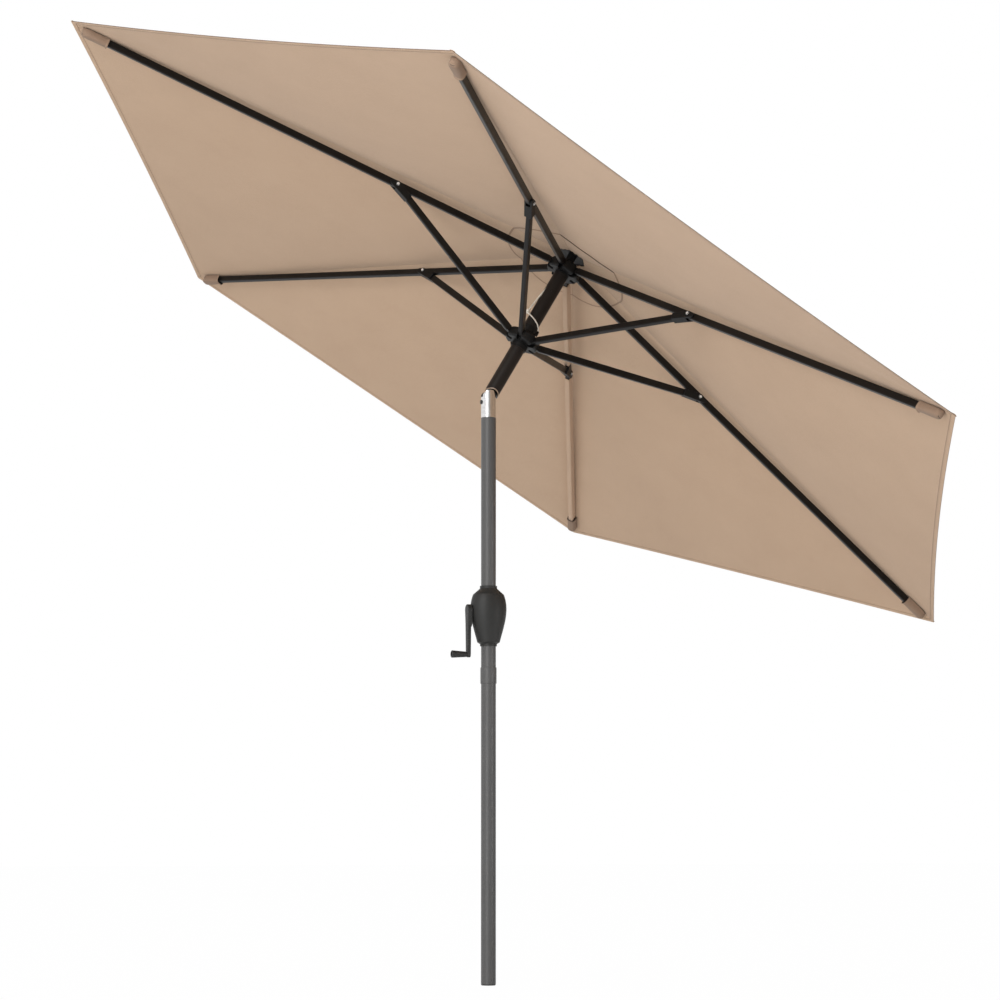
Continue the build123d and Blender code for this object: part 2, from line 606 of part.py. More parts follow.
def cord(name, points):
    radii = cord_radii(points)
    path = FilletPolyline(*points, radius=radii) if radii else Line(*points)
    solid = sweep(Plane(origin=path @ 0, z_dir=path % 0) * Circle(CORD_R), path=path)
    share = solid.volume / (pi * CORD_R ** 2 * path.length)
    shown = [round(r, 1) for r in radii]
    print(name, "radii", shown, "length", round(path.length, 1), "volume", round(share, 4))
    return solid


def make_cords():
    spool_side = (0, SPOOL_R + CORD_R, CRANK_Z + SPOOL_LEAVE_Z)
    save("cord_in_pole", cord("cord_in_pole", [spool_side, (0, 0, PIVOT_Z + SLOT_FLOOR)]))

    low = (CORD_UP_X, 0, CORD_START_Z)
    start = (CORD_UP_X, 0, PULLEY_Z)
    over = ThreePointArc(start, (PULLEY_X, 0, PULLEY_Z + CORD_RUN_R), (CORD_OVER_X, 0, PULLEY_Z))
    save_on_mast("cord_in_mast", sweep(Pos(*low) * Circle(CORD_R), path=Line(low, start) + over))

    hoist = [(CORD_OVER_X - HOIST_START_OUT, 0, PULLEY_Z - HOIST_START_DOWN),
             HOIST_MID, (-HOIST_EYE_R, HOIST_END_Y, RUNNER_Z + RUNNER_TOP)]
    tail = [TAIL_START, TAIL_MID, TAIL_END]
    strands = [cord("hoist_cord", hoist), cord("hoist_cord tail", tail)]
    save_on_mast("hoist_cord", Compound(children=strands))

    turns = enumerate(zip(BRIDLE_ANGLES, BRIDLE_RADII))
    bridle = [around_mast(angle, radius, BRIDLE_TOP - BRIDLE_DROP * k) for k, (angle, radius) in turns]
    save_on_mast("cord_bridle", cord("cord_bridle", bridle))


os.makedirs(PARTS, exist_ok=True)
make_pole()
make_case()
make_crank()
make_tilt_joint()
make_mast()
make_hub()
make_runner()
make_arms()
make_cords()
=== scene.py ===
# Patio umbrella: sewn canopy, cords, materials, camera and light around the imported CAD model
import json
from math import atan, atan2, copysign, cos, exp, hypot, pi, radians, sin, sqrt, tan

import bpy
from mathutils import Matrix, Vector, noise

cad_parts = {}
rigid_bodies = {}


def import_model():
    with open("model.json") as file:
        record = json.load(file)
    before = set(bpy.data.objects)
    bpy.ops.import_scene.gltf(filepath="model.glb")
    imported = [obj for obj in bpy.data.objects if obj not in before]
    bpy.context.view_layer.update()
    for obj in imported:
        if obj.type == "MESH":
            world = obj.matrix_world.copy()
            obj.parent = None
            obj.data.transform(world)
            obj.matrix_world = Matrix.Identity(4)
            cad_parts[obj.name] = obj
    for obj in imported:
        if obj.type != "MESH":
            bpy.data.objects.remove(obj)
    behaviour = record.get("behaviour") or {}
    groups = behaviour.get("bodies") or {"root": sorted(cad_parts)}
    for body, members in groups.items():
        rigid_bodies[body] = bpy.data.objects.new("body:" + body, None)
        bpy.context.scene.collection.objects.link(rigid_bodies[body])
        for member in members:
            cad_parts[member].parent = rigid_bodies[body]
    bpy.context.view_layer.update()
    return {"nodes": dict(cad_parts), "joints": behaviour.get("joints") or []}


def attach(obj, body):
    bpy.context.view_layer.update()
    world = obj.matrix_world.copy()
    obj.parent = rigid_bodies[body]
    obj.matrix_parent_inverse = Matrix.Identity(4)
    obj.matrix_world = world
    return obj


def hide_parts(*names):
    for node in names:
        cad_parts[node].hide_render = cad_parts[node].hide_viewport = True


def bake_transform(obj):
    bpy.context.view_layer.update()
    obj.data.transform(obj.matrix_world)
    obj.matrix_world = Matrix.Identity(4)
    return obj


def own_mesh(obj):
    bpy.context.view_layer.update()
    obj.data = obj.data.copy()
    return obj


for old in list(bpy.data.objects):
    bpy.data.objects.remove(old)

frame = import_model()

# Sizes in metres, as in the part's source
RIB_MEET_Z = 0.424
RIB_DROP = 0.010
RIB_PITCH = radians(9.6)
HUB_PIN_R = 0.038
RUNNER_PIN_R = 0.036
RUNNER_Z = 0.183
RIB_END_R = 1.338
RIVET_AT_R = 0.486
CANOPY_R = 1.375
CLOTH_TOP_Z = 0.452
CROWN_HOLE_R = 0.042
FABRIC_T = 0.0008
HEM_SAG = 0.013
POCKET_LENGTH = 0.070
POCKET_END_PAST = 0.003
CORD_R = 0.00175
CHEEK_OUT = 0.01075
RIM_R = 0.0222

RIB_COUNT = 6
STEP = 2 * pi / RIB_COUNT
HALF = STEP / 2
RIB_SLOPE = tan(RIB_PITCH)
CLOTH_SLOPE = RIB_SLOPE + (CLOTH_TOP_Z - RIB_MEET_Z) / CANOPY_R
CLOTH_PITCH = atan(CLOTH_SLOPE)
PANEL_SLOPE = CLOTH_SLOPE / cos(HALF)
PANEL_FALL = atan(PANEL_SLOPE)
HUB_PIN_Z = RIB_MEET_Z - RIB_DROP - HUB_PIN_R * RIB_SLOPE
RIVET_Z = RIB_MEET_Z - RIB_DROP - RIVET_AT_R * RIB_SLOPE
RIB_LENGTH = (RIB_END_R - HUB_PIN_R) / cos(RIB_PITCH)
RIVET_ALONG = (RIVET_AT_R - HUB_PIN_R) / cos(RIB_PITCH)
STRUT_LENGTH = hypot(RIVET_AT_R - RUNNER_PIN_R, RIVET_Z - RUNNER_Z)
STRUT_RISE = atan2(RIVET_Z - RUNNER_Z, RIVET_AT_R - RUNNER_PIN_R)
GORE_IN = CROWN_HOLE_R * cos(HALF)
GORE_OUT = CANOPY_R * cos(HALF)

joints = {j["name"]: j for j in frame["joints"]}
slide_axis = joints["runner_slide"]["axis"]
TILT = atan2(slide_axis[0], slide_axis[2])
MAST = Matrix.Translation(Vector(joints["mast_tilt"]["pos_m"])) @ Matrix.Rotation(TILT, 4, "Y")


def turned(angle):
    return MAST @ Matrix.Rotation(angle, 4, "Z")


def rib_frame(k):
    hinge = Matrix.Translation((HUB_PIN_R, 0, HUB_PIN_Z))
    return turned(STEP * k) @ hinge @ Matrix.Rotation(RIB_PITCH, 4, "Y")


def strut_frame(k):
    place = Matrix.Translation((RUNNER_PIN_R, 0, RUNNER_Z)) @ Matrix.Rotation(-STRUT_RISE, 4, "Y")
    return turned(STEP * k) @ place


# Materials
def srgb(r, g, b):
    return [((c / 255 + 0.055) / 1.055) ** 2.4 if c > 10 else c / 255 / 12.92 for c in (r, g, b)] + [1.0]


def tree_math(tree, operation, a, b):
    made = tree.nodes.new("ShaderNodeMath")
    made.operation = operation
    for socket, value in zip(made.inputs, (a, b)):
        if isinstance(value, float):
            socket.default_value = value
        else:
            tree.links.new(value, socket)
    return made.outputs["Value"]


class Shader:
    def __init__(self, name):
        self.made = bpy.data.materials.new(name)
        self.made.use_nodes = True
        self.tree = self.made.node_tree
        self.main = self.tree.nodes["Principled BSDF"]
        self.coords = self.node("ShaderNodeTexCoord")

    def node(self, kind, **settings):
        made = self.tree.nodes.new(kind)
        for key, value in settings.items():
            setattr(made, key, value)
        return made

    def link(self, output, socket):
        self.tree.links.new(output, socket)

    def set(self, **values):
        for key, value in values.items():
            self.main.inputs[key.replace("_", " ")].default_value = value

    def stretched(self, space, scale):
        mapping = self.node("ShaderNodeMapping")
        mapping.inputs["Scale"].default_value = scale
        self.link(self.coords.outputs[space], mapping.inputs["Vector"])
        return mapping.outputs["Vector"]

    def source(self, space, stretch):
        return self.stretched(space, stretch) if stretch else self.coords.outputs[space]

    def noise(self, scale, detail, space="Object", stretch=None):
        made = self.node("ShaderNodeTexNoise")
        made.inputs["Scale"].default_value = scale
        made.inputs["Detail"].default_value = detail
        self.link(self.source(space, stretch), made.inputs["Vector"])
        return made.outputs["Fac"]

    def bands(self, scale, direction, space="UV", stretch=None, distortion=0.0):
        made = self.node("ShaderNodeTexWave", wave_type="BANDS", bands_direction=direction)
        made.inputs["Scale"].default_value = scale
        made.inputs["Distortion"].default_value = distortion
        self.link(self.source(space, stretch), made.inputs["Vector"])
        return made.outputs["Fac"]

    def math(self, operation, a, b):
        return tree_math(self.tree, operation, a, b)

    def mean(self, a, b):
        return self.math("MULTIPLY", self.math("ADD", a, b), 0.5)

    def weighted(self, a, b, share):
        return self.math("ADD", self.math("MULTIPLY", a, share), self.math("MULTIPLY", b, 1.0 - share))

    def ramp(self, value, stops):
        made = self.node("ShaderNodeValToRGB")
        ends = made.color_ramp.elements
        while len(ends) < len(stops):
            ends.new(0.5)
        for element, (place, colour) in zip(ends, stops):
            element.position = place
            element.color = colour
        self.link(value, made.inputs["Fac"])
        return made.outputs["Color"]

    def spread(self, value, low, high):
        made = self.node("ShaderNodeMapRange")
        made.inputs["To Min"].default_value = low
        made.inputs["To Max"].default_value = high
        self.link(value, made.inputs["Value"])
        return made.outputs["Result"]

    def colour(self, value, stops):
        self.link(self.ramp(value, stops), self.main.inputs["Base Color"])

    def gloss(self, value, limits):
        self.link(self.spread(value, *limits), self.main.inputs["Roughness"])

    def bump(self, height, strength, distance):
        made = self.node("ShaderNodeBump")
        made.inputs["Strength"].default_value = strength
        made.inputs["Distance"].default_value = distance
        self.link(height, made.inputs["Height"])
        previous = self.main.inputs["Normal"]
        if previous.is_linked:
            self.link(previous.links[0].from_socket, made.inputs["Normal"])
        self.link(made.outputs["Normal"], previous)


# A coated or moulded surface: mottled colour, uneven gloss, fine grain and a broad wave
GLOSS_FINER = 9
WAVE_BROADER = 12


def surface(name, dark, light, rough, grain, grain_depth, wave=0.0, patch=6.0, **values):
    made = Shader(name)
    made.set(**values)
    made.colour(made.noise(patch, detail=5.0), [(0.35, dark), (0.65, light)])
    made.gloss(made.noise(patch * GLOSS_FINER, detail=4.0), rough)
    made.bump(made.noise(grain, detail=2.0), strength=0.6, distance=grain_depth)
    if wave:
        made.bump(made.noise(grain / WAVE_BROADER, detail=1.0), strength=0.5, distance=wave)
    return made.made


# Brushed metal: fine lines in one direction
METAL_PATCH = 40.0
BRUSH_DEPTH = 0.00002


def brushed(name, dark, light, rough, stretch):
    made = Shader(name)
    made.set(Metallic=1.0)
    lines = made.noise(1.0, detail=4.0, stretch=stretch)
    made.colour(lines, [(0.3, dark), (0.7, light)])
    made.gloss(made.noise(METAL_PATCH, detail=4.0), rough)
    made.bump(lines, strength=0.3, distance=BRUSH_DEPTH)
    return made.made


# Woven cloth: crossing threads, uneven yarn, and soft patches of shade
THREAD_PITCH = 0.0011
THREAD_WOBBLE = 0.35
YARN_FINE = 900.0
YARN_LONG = 26.0
SOFT_PATCH = 7.0
THREAD_SHARE = 0.8
WEAVE_DEPTH = 0.00012
YARN_DEPTH = 0.0001


def cloth(name, dark, light):
    made = Shader(name)
    made.set(Roughness=0.86, Sheen_Weight=0.1, Sheen_Roughness=0.5, Specular_IOR_Level=0.25)
    scale = pi / 10 / THREAD_PITCH
    warp = made.bands(scale, "X", distortion=THREAD_WOBBLE)
    weft = made.bands(scale, "Y", distortion=THREAD_WOBBLE)
    weave = made.mean(warp, weft)
    yarn_along = made.noise(1.0, detail=3.0, space="UV", stretch=(YARN_FINE, YARN_LONG, 1.0))
    yarn_across = made.noise(1.0, detail=3.0, space="UV", stretch=(YARN_LONG, YARN_FINE, 1.0))
    yarn = made.mean(yarn_along, yarn_across)
    soft = made.noise(SOFT_PATCH, detail=4.0, space="UV")
    shade = made.weighted(made.mean(weave, yarn), soft, THREAD_SHARE)
    made.colour(shade, [(0.25, dark), (0.75, light)])
    made.bump(weave, strength=0.5, distance=WEAVE_DEPTH)
    made.bump(yarn, strength=0.4, distance=YARN_DEPTH)
    return made.made


# Braided cord: slanting strands that cross, in a pale yarn
BRAID_SCALE = 150.0
MIRRORED = (-1.0, 1.0, 1.0)
FUZZ_SCALE = 2500.0
STRAND_SHARE = 0.7
BRAID_DEPTH = 0.0003


def braid(name, dark, light):
    made = Shader(name)
    made.set(Roughness=0.8, Sheen_Weight=0.3, Specular_IOR_Level=0.3)
    left = made.bands(BRAID_SCALE, "DIAGONAL", space="Object")
    right = made.bands(BRAID_SCALE, "DIAGONAL", space="Object", stretch=MIRRORED)
    strands = made.math("MAXIMUM", left, right)
    shade = made.weighted(strands, made.noise(FUZZ_SCALE, detail=2.0), STRAND_SHARE)
    made.colour(shade, [(0.2, dark), (0.8, light)])
    made.bump(strands, strength=0.6, distance=BRAID_DEPTH)
    return made.made


# The mast's concave end: bright chrome rim, with the hollow within it painted near black as painted shade
RIM_OVER = 0.0003
RIM_BRUSH = (900.0, 60.0, 900.0)
RIM_GLOSS = (0.14, 0.26)


def rim(name, dark, low, high):
    made = Shader(name)
    made.set(Metallic=1.0)
    pivot = joints["mast_tilt"]["pos_m"]
    place = made.node("ShaderNodeMapping")
    place.inputs["Scale"].default_value = (1.0, 0.0, 1.0)
    place.inputs["Location"].default_value = (-pivot[0], 0.0, -pivot[2])
    made.link(made.coords.outputs["Object"], place.inputs["Vector"])
    far = made.node("ShaderNodeVectorMath", operation="LENGTH")
    made.link(place.outputs["Vector"], far.inputs["Vector"])
    # Within the rim's radius the colour drops to near black: painted shade of the hollow
    bright = made.math("GREATER_THAN", far.outputs["Value"], RIM_R + RIM_OVER)
    lines = made.spread(made.noise(1.0, detail=4.0, stretch=RIM_BRUSH), 0.55, 1.0)
    made.colour(made.math("MULTIPLY", bright, lines), [(0.3, dark), (0.6, low), (0.85, high)])
    made.gloss(made.noise(METAL_PATCH, detail=4.0), RIM_GLOSS)
    return made.made


finish = {
    "pole_paint": surface("pole_paint", srgb(79, 79, 79), srgb(83, 83, 83), (0.34, 0.42), 900.0, 0.000012,
                          wave=0.00003, Specular_IOR_Level=0.3),
    "mast_paint": surface("mast_paint", srgb(22, 18, 17), srgb(28, 24, 22), (0.34, 0.46), 900.0, 0.00004,
                          wave=0.00006, Specular_IOR_Level=0.28),
    "bar_paint": surface("bar_paint", srgb(18, 16, 15), srgb(24, 22, 21), (0.28, 0.4), 1100.0, 0.00004,
                         wave=0.00005, Specular_IOR_Level=0.2),
    "case_plastic": surface("case_plastic", srgb(35, 35, 34), srgb(41, 41, 40), (0.44, 0.58), 1400.0, 0.00006,
                            patch=12.0, Specular_IOR_Level=0.3),
    "hub_plastic": surface("hub_plastic", srgb(13, 13, 13), srgb(20, 20, 20), (0.4, 0.56), 1500.0, 0.00006,
                           patch=18.0, Specular_IOR_Level=0.22),
    "knuckle_chrome": brushed("knuckle_chrome", srgb(205, 204, 203), srgb(232, 231, 230), (0.12, 0.22),
                              (60.0, 60.0, 900.0)),
    "steel": brushed("steel", srgb(150, 150, 150), srgb(196, 196, 194), (0.22, 0.36), (500.0, 500.0, 500.0)),
    "inner_plastic": surface("inner_plastic", srgb(205, 202, 194), srgb(224, 221, 214), (0.35, 0.5), 1200.0,
                             0.00004, patch=30.0),
    "cord": braid("cord", srgb(168, 160, 146), srgb(228, 222, 210)),
    "canopy_fabric": cloth("canopy_fabric", srgb(177, 149, 124), srgb(201, 174, 148)),
}
# Pocket cloth and its mouth band: darker copies of the canopy cloth as painted shade, the band a little
# lighter
pocket_cloth = cloth("pocket_cloth", srgb(126, 104, 87), srgb(150, 127, 108))
band_painted_shade = cloth("band_painted_shade", srgb(136, 113, 95), srgb(160, 136, 116))
# Near black for the pockets' insides: painted shade
inside_painted_shade = cloth("inside_painted_shade", srgb(26, 22, 20), srgb(38, 32, 28))
sleeve_cloth = cloth("sleeve_cloth", srgb(175, 147, 123), srgb(199, 172, 147))
# Dark brown for the hem's cut edge: painted shade
hem_edge_painted_shade = cloth("hem_edge_painted_shade", srgb(90, 68, 52), srgb(112, 87, 68))
# Darker cloth for the hem's fold row and the fainter crown welts: painted shade
faint_painted_shade = cloth("faint_painted_shade", srgb(140, 115, 95), srgb(164, 138, 117))
# Dark brown for one gore's crown welt: painted shadow
welt_cloth = cloth("welt_cloth", srgb(70, 52, 40), srgb(92, 70, 54))
# Near white rivet caps: the plating's own brightness, raised further as a painted highlight
rivet_nickel_and_painted_glint = surface("rivet_nickel_and_painted_glint", srgb(226, 225, 223), srgb(242, 241, 239), (0.2, 0.3), 1500.0, 0.00003,
                       patch=60.0, Metallic=0.3)
thread = surface("thread", srgb(128, 102, 80), srgb(154, 127, 103), (0.6, 0.8), 3000.0, 0.00005)

for node in frame["nodes"].values():
    slot = node.data.materials[0].name.split(".")[0]
    node.data.materials[0] = finish[slot]
frame["nodes"]["pulley_pin"].data.materials[0] = finish["mast_paint"]
# The tilt tongue's chrome, its hollow painted near black as painted shade
frame["nodes"]["tilt_tongue"].data.materials[0] = rim("rim_chrome", srgb(14, 13, 13), srgb(196, 195, 194),
                                                      srgb(226, 225, 224))


# Mesh helpers
def add_mesh(name, points, faces, materials, slots=None, uvs=None, sharp=42):
    mesh = bpy.data.meshes.new(name)
    mesh.from_pydata([tuple(p) for p in points], [], faces)
    for material in materials:
        mesh.materials.append(material)
    if slots:
        mesh.polygons.foreach_set("material_index", slots)
    mesh.polygons.foreach_set("use_smooth", [True] * len(mesh.polygons))
    if uvs:
        layer = mesh.uv_layers.new(name="UVMap")
        for loop in mesh.loops:
            layer.data[loop.index].uv = uvs[loop.vertex_index]
    mesh.set_sharp_from_angle(angle=radians(sharp))
    mesh.update()
    made = bpy.data.objects.new(name, mesh)
    bpy.context.scene.collection.objects.link(made)
    return made


def grid_faces(rows, columns, start=0, flip=False):
    faces = []
    for r in range(rows - 1):
        for c in range(columns - 1):
            a = start + r * columns + c
            quad = (a, a + 1, a + columns + 1, a + columns)
            faces.append(quad[::-1] if flip else quad)
    return faces


# Rings of points joined into a closed tube
def tube_faces(rows, ring, clockwise=False):
    faces = []
    for r in range(rows - 1):
        for j in range(ring):
            a, b = r * ring + j, r * ring + (j + 1) % ring
            faces.append((a, a + ring, b + ring, b) if clockwise else (a, b, b + ring, a + ring))
    first = tuple(range(ring))
    last = tuple(range((rows - 1) * ring, rows * ring))
    return faces + ([first, last[::-1]] if clockwise else [first[::-1], last])


# The two faces of a sheet, joined along its four edges
def sheet_faces(rows, columns):
    layer = rows * columns
    faces = grid_faces(rows, columns) + grid_faces(rows, columns, layer, True)
    border = list(range(columns))
    border += [r * columns + columns - 1 for r in range(1, rows)]
    border += [(rows - 1) * columns + c for c in range(columns - 2, -1, -1)]
    border += [r * columns for r in range(rows - 2, 0, -1)]
    for a, b in zip(border, border[1:] + border[:1]):
        faces.append((b, a, a + layer, b + layer))
    return faces


# Rows of stitches: each a small spindle of thread lying on the cloth
STITCH = 0.0036
STITCH_PITCH = 0.0052
STITCH_R = 0.00032
STITCH_THICK = (-0.3, 0.3)


def stitch_points(line, normals, points, faces):
    length = 0.0
    due = STITCH_PITCH / 2
    for p, q, n in zip(line, line[1:], normals):
        run = (q - p).length
        along = (q - p) / run
        across = n.cross(along).normalized()
        while due < length + run:
            centre = p + along * (due - length)
            start = len(points)
            points.append(centre - along * STITCH / 2)
            for shift in STITCH_THICK:
                for angle in (0, pi / 2, pi, 3 * pi / 2):
                    out = across * cos(angle) * STITCH_R + n * sin(angle) * STITCH_R
                    points.append(centre + along * STITCH * shift + out)
            points.append(centre + along * STITCH / 2)
            for i in range(4):
                j = (i + 1) % 4
                faces.append((start, start + 1 + j, start + 1 + i))
                faces.append((start + 1 + i, start + 1 + j, start + 5 + j, start + 5 + i))
                faces.append((start + 9, start + 5 + i, start + 5 + j))
            due += STITCH_PITCH
        length += run


def stitches(name, lines, material):
    points, faces = [], []
    for line, normals in lines:
        stitch_points(line, normals, points, faces)
    return add_mesh(name, points, faces, [material], sharp=80)


# Canopy: each gore hangs a little between its ribs, and its cloth pulls into soft folds at the corners
EDGE_GAP = 0.0001
BELLY = 0.013
HEM_BELLY = 0.005
FOLD_DEPTH = 0.0017
FOLD_REACH = 0.2
FOLD_START = 0.03
FOLD_WAVES = 5
HUB_FOLD_DEPTH = 0.0009
HUB_FOLD_REACH = 0.13
HUB_FOLD_WAVES = 3
UNEVEN = 0.0022
UNEVEN_OUT = 3.1
UNEVEN_SIDE = 2.3
UNEVEN_TURN = 7.7
HEM_WIDTH = 0.0125
HEM_EXTRA = 0.0007
HEM_ROWS = [0.0, 0.0007, 0.003, 0.0075, 0.0103, 0.0125, 0.0139, 0.02]
# Row at the hem's inner fold, painted darker as painted shade of the step
HEM_LINE_ROW = 4
HEM_MARGIN = 0.0001
HEM_STITCH_IN = 0.0086
HEM_STITCH_POINTS = 241
HEM_STITCH_SHARE = 0.996
GORE_ROWS = 62
GORE_COLUMNS = 73
CROWN_PATCH_R = 0.170
# Gore whose crown welt carries the painted shadow
SHADOWED_WELT_K = 4
CROWN_PATCH_IN = 0.052
PATCH_SIDE_GAP = 0.0008
PATCH_UNDER = 0.0003
PATCH_ROWS = 9
PATCH_COLUMNS = 25
WELT_W = 0.005
WELT_H = 0.0014
WELT_SIDES = 8
WELT_UV = 0.001
TINY = 1e-6

gore_normal = Vector((sin(PANEL_FALL), 0, cos(PANEL_FALL)))


def gore_drop(out, side, share, k):
    t = (out - GORE_IN) / (GORE_OUT - GORE_IN)
    between = 1 - share * share
    arch = sin(pi * min(max(t, 0.0), 1.0))
    drop = between * (BELLY * arch + HEM_BELLY * t)
    spot = Vector((out * UNEVEN_OUT, side * UNEVEN_SIDE, k * UNEVEN_TURN))
    drop += between * arch * UNEVEN * noise.noise(spot)
    reach = exp(-(out - GORE_IN) / HUB_FOLD_REACH)
    drop += between * HUB_FOLD_DEPTH * reach * sin(HUB_FOLD_WAVES * pi * share + k)
    for corner in (-1, 1):
        back = GORE_OUT - out
        inward = GORE_OUT * tan(HALF) - corner * side
        far = hypot(back, inward)
        if far > TINY:
            spread = min(max((atan2(inward, back) - HALF) / (pi / 2 - HALF), 0.0), 1.0)
            fade = exp(-far / FOLD_REACH) * (1 - exp(-far / FOLD_START))
            drop += FOLD_DEPTH * fade * sin(pi * spread) * sin(FOLD_WAVES * pi * spread + k + corner)
    return drop


def gore_point(t, share, k, lift=0.0):
    outer = GORE_OUT - HEM_SAG * (1 - share * share)
    out = GORE_IN + (outer - GORE_IN) * t
    side = share * (out * tan(HALF) - EDGE_GAP)
    z = CLOTH_TOP_Z - out * PANEL_SLOPE - gore_drop(out, side, share, k)
    return Vector((out, side, z)) + gore_normal * lift


def hem_share(inset):
    return 1 - inset / (GORE_OUT - GORE_IN)


def shares(count, edge=1.0):
    return [edge * (2 * c / (count - 1) - 1) for c in range(count)]


def make_gore(k):
    place = turned(STEP * k + HALF)
    rows = [hem_share(d) for d in HEM_ROWS]
    last = rows[-1]
    rows += [last * (1 - i / GORE_ROWS) for i in range(1, GORE_ROWS + 1)]
    columns = shares(GORE_COLUMNS)
    lower, upper, uvs = [], [], []
    for t in rows:
        extra = HEM_EXTRA if t > hem_share(HEM_WIDTH + HEM_MARGIN) else 0.0
        for s in columns:
            p = gore_point(t, s, k)
            lower.append(place @ (p - gore_normal * extra))
            upper.append(place @ (p + gore_normal * FABRIC_T))
            uvs.append((p.y, p.x))
    faces = sheet_faces(len(rows), len(columns))
    strip = GORE_COLUMNS - 1
    edge = 2 * strip * (len(rows) - 1)
    # The hem's fold row and its cut edge are painted darker: painted shade
    slots = [0] * len(faces)
    for c in range(strip):
        slots[HEM_LINE_ROW * strip + c] = 1
        slots[edge + c] = 2
    gore = add_mesh(f"gore_{k + 1}", lower + upper, faces,
                    [finish["canopy_fabric"], faint_painted_shade, hem_edge_painted_shade], slots, uvs + uvs)
    lines = []
    fine = shares(HEM_STITCH_POINTS, HEM_STITCH_SHARE)
    for lift, side in ((-HEM_EXTRA, -1), (FABRIC_T, 1)):
        line = [place @ gore_point(hem_share(HEM_STITCH_IN), s, k, lift) for s in fine]
        normal = (place.to_3x3() @ gore_normal) * side
        lines.append((line, [normal] * len(line)))
    seam = stitches(f"hem_stitches_{k + 1}", lines, thread)
    patch, welt = make_crown_patch(k, place)
    anchor = place @ gore_point(0.5, 0.0, k)
    for piece in (gore, seam, patch, welt, *make_seam(k)):
        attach(piece, f"panel_{k + 1}")
        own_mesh(piece)
    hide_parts(f"canopy_panel_{k + 1}")


# Crown patch: a second layer sewn under the middle, edged with a welt painted darker as shade, darkest on one
# gore as a painted shadow
def make_crown_patch(k, place):
    columns = shares(PATCH_COLUMNS)
    lower, upper, uvs, edge = [], [], [], []
    for r in range(PATCH_ROWS):
        for s in columns:
            angle = s * (HALF - PATCH_SIDE_GAP / CROWN_PATCH_R)
            radius = CROWN_PATCH_R + (CROWN_PATCH_IN - CROWN_PATCH_R) * r / (PATCH_ROWS - 1)
            out = radius * cos(angle)
            limit = out * tan(HALF) - PATCH_SIDE_GAP
            side = min(max(radius * sin(angle), -limit), limit)
            share = side / (out * tan(HALF))
            t = (out - GORE_IN) / (GORE_OUT - GORE_IN)
            p = gore_point(t, share, k, -PATCH_UNDER)
            p.y = side
            upper.append(place @ p)
            lower.append(place @ (p - gore_normal * FABRIC_T))
            uvs.append((side, out))
            if r == 0:
                edge.append(p - gore_normal * FABRIC_T)
    faces = sheet_faces(PATCH_ROWS, PATCH_COLUMNS)
    patch = add_mesh(f"crown_patch_{k + 1}", lower + upper, faces, [finish["canopy_fabric"]], uvs=uvs + uvs)
    points, welt_uvs = [], []
    for p in edge:
        inward = Vector((-p.x, -p.y, 0)).normalized()
        for j in range(WELT_SIDES):
            angle = 2 * pi * j / WELT_SIDES
            shift = inward * cos(angle) * WELT_W / 2 - gore_normal * sin(angle) * WELT_H / 2
            points.append(place @ (p + shift))
            welt_uvs.append((p.y, j * WELT_UV))
    faces = tube_faces(len(edge), WELT_SIDES, clockwise=True)
    # The welt is painted darker as shade: a dark painted shadow on one gore, a fainter painted shade on the
    # others
    welt_shade = welt_cloth if k == SHADOWED_WELT_K else faint_painted_shade
    welt = add_mesh(f"crown_welt_{k + 1}", points, faces, [welt_shade], uvs=welt_uvs, sharp=70)
    return patch, welt


# Seam over each rib: a flat-felled strip on top of the canopy with two rows of stitches
SEAM_HALF_W = 0.0065
SEAM_T = 0.0008
SEAM_IN_R = 0.060
SEAM_OVER = 0.0002
SEAM_ROWS = 61
SEAM_SHORT = 0.001
SEAM_OFFSETS = [-1.0, -0.85, -0.45, 0.0, 0.45, 0.85, 1.0]
SEAM_THINS = 0.6
SEAM_ROUND = 6
SEAM_STITCH = 0.0046


def make_seam(k):
    place = turned(STEP * k)
    up = Vector((sin(CLOTH_PITCH), 0, cos(CLOTH_PITCH)))

    def point(radius, across, lift):
        z = CLOTH_TOP_Z - radius * CLOTH_SLOPE - abs(across) * sin(HALF) * PANEL_SLOPE
        return place @ (Vector((radius, across, z)) + up * (FABRIC_T + SEAM_OVER + lift))

    lower, upper, uvs = [], [], []
    radii = [CANOPY_R - SEAM_SHORT + (SEAM_IN_R - CANOPY_R) * i / (SEAM_ROWS - 1) for i in range(SEAM_ROWS)]
    for radius in radii:
        for o in SEAM_OFFSETS:
            lower.append(point(radius, o * SEAM_HALF_W, 0.0))
            upper.append(point(radius, o * SEAM_HALF_W, SEAM_T * (1 - SEAM_THINS * abs(o) ** SEAM_ROUND)))
            uvs.append((radius, o * SEAM_HALF_W))
    faces = sheet_faces(SEAM_ROWS, len(SEAM_OFFSETS))
    seam = add_mesh(f"seam_{k + 1}", lower + upper, faces, [finish["canopy_fabric"]], uvs=uvs + uvs)
    normal = place.to_3x3() @ up
    lines = []
    for side in (-1, 1):
        line = [point(radius, side * SEAM_STITCH, SEAM_T) for radius in radii]
        lines.append((line, [normal] * len(line)))
    return seam, stitches(f"seam_stitches_{k + 1}", lines, thread)


# Cloth along a rib's own axis: a trough with sewn flanges under the canopy, or a wrap all round
FLANGE_FALL = 0.215
FLANGE_UNDER = 0.0008
TROUGH_POINTS = 17
TROUGH_SIDES = 0.45
TROUGH_FLOOR = 0.5
WRAP_POINTS = 41
WRAP_SQUARE = 0.25


def under_cloth(x):
    radius = HUB_PIN_R + x * cos(RIB_PITCH)
    gap = CLOTH_TOP_Z - radius * CLOTH_SLOPE - HUB_PIN_Z + x * sin(RIB_PITCH)
    return gap / (cos(RIB_PITCH) + CLOTH_SLOPE * sin(RIB_PITCH)) - FLANGE_UNDER


